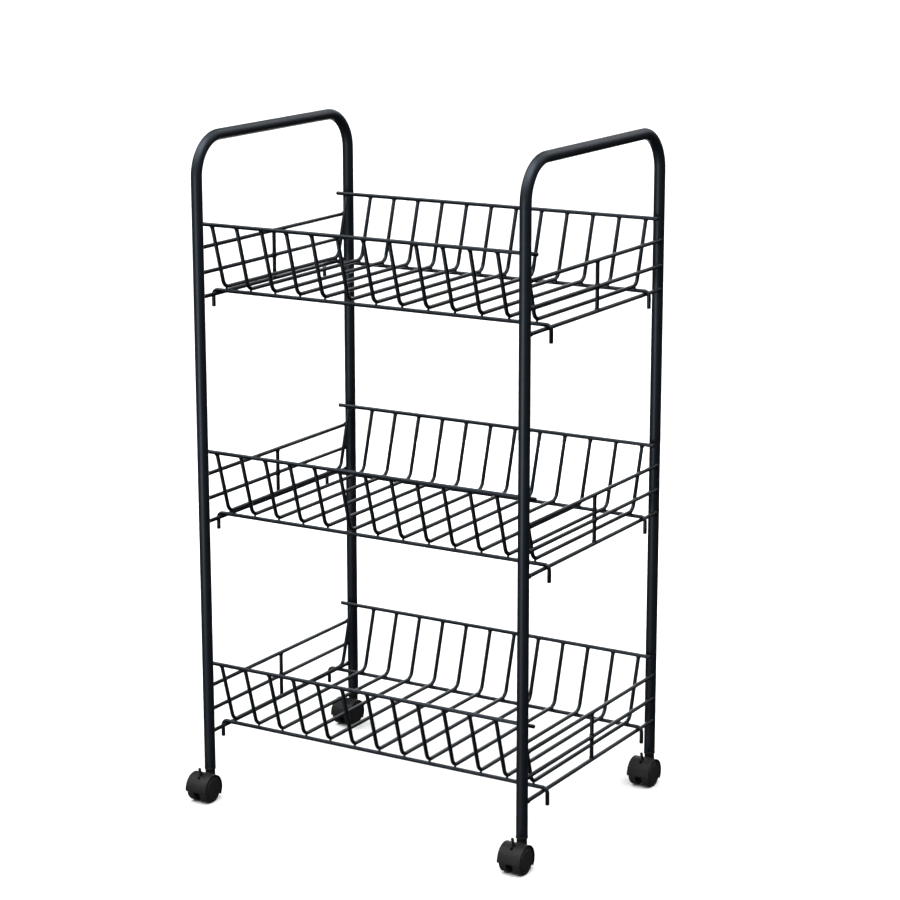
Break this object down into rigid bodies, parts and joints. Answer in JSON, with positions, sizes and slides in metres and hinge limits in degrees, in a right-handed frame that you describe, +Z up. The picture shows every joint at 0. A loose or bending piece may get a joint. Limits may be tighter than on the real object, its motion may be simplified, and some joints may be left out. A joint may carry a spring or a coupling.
{
  "type": "rolling utility cart",
  "caption": "Three-tier rolling utility cart: flared wire baskets hooked between two bent-tube end frames with handle bars, on twin-wheel swivel casters.",
  "frame": {"origin": "centre of the footprint on the floor", "axes": "+X along the long side toward the right end frame, -Y the front that the casters trail toward, +Z up"},
  "size_m": [0.4478, 0.3508, 0.785],
  "materials": {
    "tube_coat": "satin blue-black powder coat on bent steel tube",
    "wire_coat": "satin blue-black powder coat on welded steel wire",
    "insert_plastic": "matte black moulded nylon",
    "hood_plastic": "matte charcoal moulded nylon with a fine grain",
    "wheel_plastic": "matte dark charcoal moulded nylon",
    "lever_plastic": "black moulded nylon",
    "steel": "zinc-plated steel pin"
  },
  "bodies": {
    "frame": {"end_frame_left": "tube_coat", "end_grid_left_top": "wire_coat", "end_grid_left_middle": "wire_coat", "end_grid_left_bottom": "wire_coat", "end_frame_right": "tube_coat", "end_grid_right_top": "wire_coat", "end_grid_right_middle": "wire_coat", "end_grid_right_bottom": "wire_coat", "basket_top_wires": "wire_coat", "basket_top_rim_front": "wire_coat", "basket_top_rim_back": "wire_coat", "basket_middle_wires": "wire_coat", "basket_middle_rim_front": "wire_coat", "basket_middle_rim_back": "wire_coat", "basket_bottom_wires": "wire_coat", "basket_bottom_rim_front": "wire_coat", "basket_bottom_rim_back": "wire_coat", "caster_front_left_socket_insert": "insert_plastic", "caster_front_left_stem": "steel", "caster_front_right_socket_insert": "insert_plastic", "caster_front_right_stem": "steel", "caster_back_left_socket_insert": "insert_plastic", "caster_back_left_stem": "steel", "caster_back_right_socket_insert": "insert_plastic", "caster_back_right_stem": "steel"},
    "caster_front_left": {"caster_front_left_hood": "hood_plastic", "caster_front_left_axle": "steel"},
    "caster_front_left_wheel_left": {"caster_front_left_wheel_left": "wheel_plastic"},
    "caster_front_left_wheel_right": {"caster_front_left_wheel_right": "wheel_plastic"},
    "caster_front_left_brake_lever": {"caster_front_left_brake_lever": "lever_plastic"},
    "caster_front_right": {"caster_front_right_hood": "hood_plastic", "caster_front_right_axle": "steel"},
    "caster_front_right_wheel_left": {"caster_front_right_wheel_left": "wheel_plastic"},
    "caster_front_right_wheel_right": {"caster_front_right_wheel_right": "wheel_plastic"},
    "caster_front_right_brake_lever": {"caster_front_right_brake_lever": "lever_plastic"},
    "caster_back_left": {"caster_back_left_hood": "hood_plastic", "caster_back_left_axle": "steel"},
    "caster_back_left_wheel_left": {"caster_back_left_wheel_left": "wheel_plastic"},
    "caster_back_left_wheel_right": {"caster_back_left_wheel_right": "wheel_plastic"},
    "caster_back_left_brake_lever": {"caster_back_left_brake_lever": "lever_plastic"},
    "caster_back_right": {"caster_back_right_hood": "hood_plastic", "caster_back_right_axle": "steel"},
    "caster_back_right_wheel_left": {"caster_back_right_wheel_left": "wheel_plastic"},
    "caster_back_right_wheel_right": {"caster_back_right_wheel_right": "wheel_plastic"},
    "caster_back_right_brake_lever": {"caster_back_right_brake_lever": "lever_plastic"}
  },
  "joints": [
    {"name": "caster_front_left_swivel", "type": "hinge", "parent": "frame", "child": "caster_front_left", "pos_m": [-0.2096, -0.1445, 0.016], "axis": [0, 0, 1], "continuous": true},
    {"name": "caster_front_left_wheel_left_spin", "type": "hinge", "parent": "caster_front_left", "child": "caster_front_left_wheel_left", "pos_m": [-0.2096, -0.158, 0.016], "axis": [1, 0, 0], "continuous": true},
    {"name": "caster_front_left_wheel_right_spin", "type": "hinge", "parent": "caster_front_left", "child": "caster_front_left_wheel_right", "pos_m": [-0.2096, -0.158, 0.016], "axis": [1, 0, 0], "continuous": true},
    {"name": "caster_front_left_brake_lever_tilt", "type": "hinge", "parent": "caster_front_left", "child": "caster_front_left_brake_lever", "pos_m": [-0.2096, -0.16151, 0.02748], "axis": [-1, 0, 0], "range_deg": [0, 15]},
    {"name": "caster_front_right_swivel", "type": "hinge", "parent": "frame", "child": "caster_front_right", "pos_m": [0.2096, -0.1445, 0.016], "axis": [0, 0, 1], "continuous": true},
    {"name": "caster_front_right_wheel_left_spin", "type": "hinge", "parent": "caster_front_right", "child": "caster_front_right_wheel_left", "pos_m": [0.2096, -0.158, 0.016], "axis": [1, 0, 0], "continuous": true},
    {"name": "caster_front_right_wheel_right_spin", "type": "hinge", "parent": "caster_front_right", "child": "caster_front_right_wheel_right", "pos_m": [0.2096, -0.158, 0.016], "axis": [1, 0, 0], "continuous": true},
    {"name": "caster_front_right_brake_lever_tilt", "type": "hinge", "parent": "caster_front_right", "child": "caster_front_right_brake_lever", "pos_m": [0.2096, -0.16151, 0.02748], "axis": [-1, 0, 0], "range_deg": [0, 15]},
    {"name": "caster_back_left_swivel", "type": "hinge", "parent": "frame", "child": "caster_back_left", "pos_m": [-0.2096, 0.1689, 0.016], "axis": [0, 0, 1], "continuous": true},
    {"name": "caster_back_left_wheel_left_spin", "type": "hinge", "parent": "caster_back_left", "child": "caster_back_left_wheel_left", "pos_m": [-0.2096, 0.1554, 0.016], "axis": [1, 0, 0], "continuous": true},
    {"name": "caster_back_left_wheel_right_spin", "type": "hinge", "parent": "caster_back_left", "child": "caster_back_left_wheel_right", "pos_m": [-0.2096, 0.1554, 0.016], "axis": [1, 0, 0], "continuous": true},
    {"name": "caster_back_left_brake_lever_tilt", "type": "hinge", "parent": "caster_back_left", "child": "caster_back_left_brake_lever", "pos_m": [-0.2096, 0.15189, 0.02748], "axis": [-1, 0, 0], "range_deg": [0, 15]},
    {"name": "caster_back_right_swivel", "type": "hinge", "parent": "frame", "child": "caster_back_right", "pos_m": [0.2096, 0.1689, 0.016], "axis": [0, 0, 1], "continuous": true},
    {"name": "caster_back_right_wheel_left_spin", "type": "hinge", "parent": "caster_back_right", "child": "caster_back_right_wheel_left", "pos_m": [0.2096, 0.1554, 0.016], "axis": [1, 0, 0], "continuous": true},
    {"name": "caster_back_right_wheel_right_spin", "type": "hinge", "parent": "caster_back_right", "child": "caster_back_right_wheel_right", "pos_m": [0.2096, 0.1554, 0.016], "axis": [1, 0, 0], "continuous": true},
    {"name": "caster_back_right_brake_lever_tilt", "type": "hinge", "parent": "caster_back_right", "child": "caster_back_right_brake_lever", "pos_m": [0.2096, 0.15189, 0.02748], "axis": [-1, 0, 0], "range_deg": [0, 15]}
  ]
}
